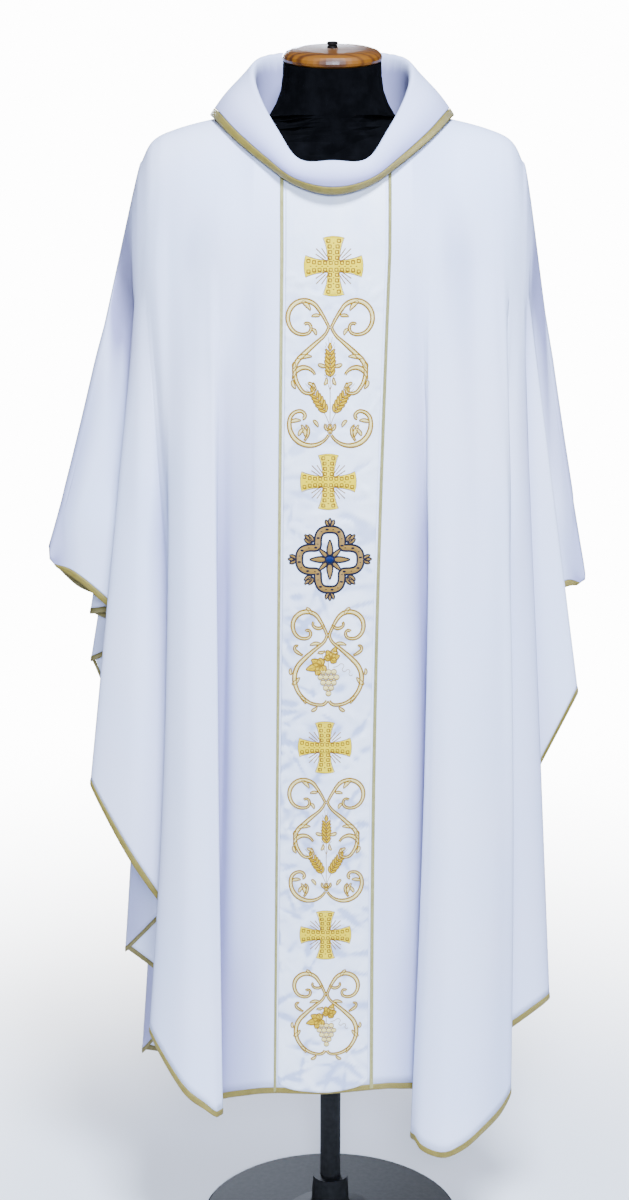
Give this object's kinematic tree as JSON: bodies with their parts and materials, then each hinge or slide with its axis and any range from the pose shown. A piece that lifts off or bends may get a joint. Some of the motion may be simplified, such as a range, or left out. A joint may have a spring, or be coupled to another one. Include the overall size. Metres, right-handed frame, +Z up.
{
  "type": "chasuble on a dress form",
  "caption": "Wide-sleeved liturgical chasuble with a roll collar and an embroidered front band, draped on a limbless dress form with a pole and round base.",
  "frame": {"origin": "centre of the base plate's underside, on the floor", "axes": "+Z up, -Y towards the front of the chasuble, +X towards the viewer's right when facing the front"},
  "size_m": [0.7004, 0.356, 1.6016],
  "materials": {
    "cloth": "matte white crepe",
    "trim": "woven gold galloon",
    "satin": "soft white satin",
    "jersey": "black jersey",
    "cap_wood": "gloss lacquer",
    "knob_metal": "dark satin",
    "stand_paint": "black satin paint"
  },
  "bodies": {
    "root": {"front_panel": "cloth", "back_panel": "cloth", "collar": "cloth", "collar_trim": "trim", "hem_trim_front": "trim", "hem_trim_back": "trim", "orphrey": "satin", "braid_left": "trim", "braid_right": "trim", "torso": "jersey", "neck_cap": "cap_wood", "cap_knob": "knob_metal", "pole": "stand_paint", "base_plate": "stand_paint"}
  },
  "joints": []
}
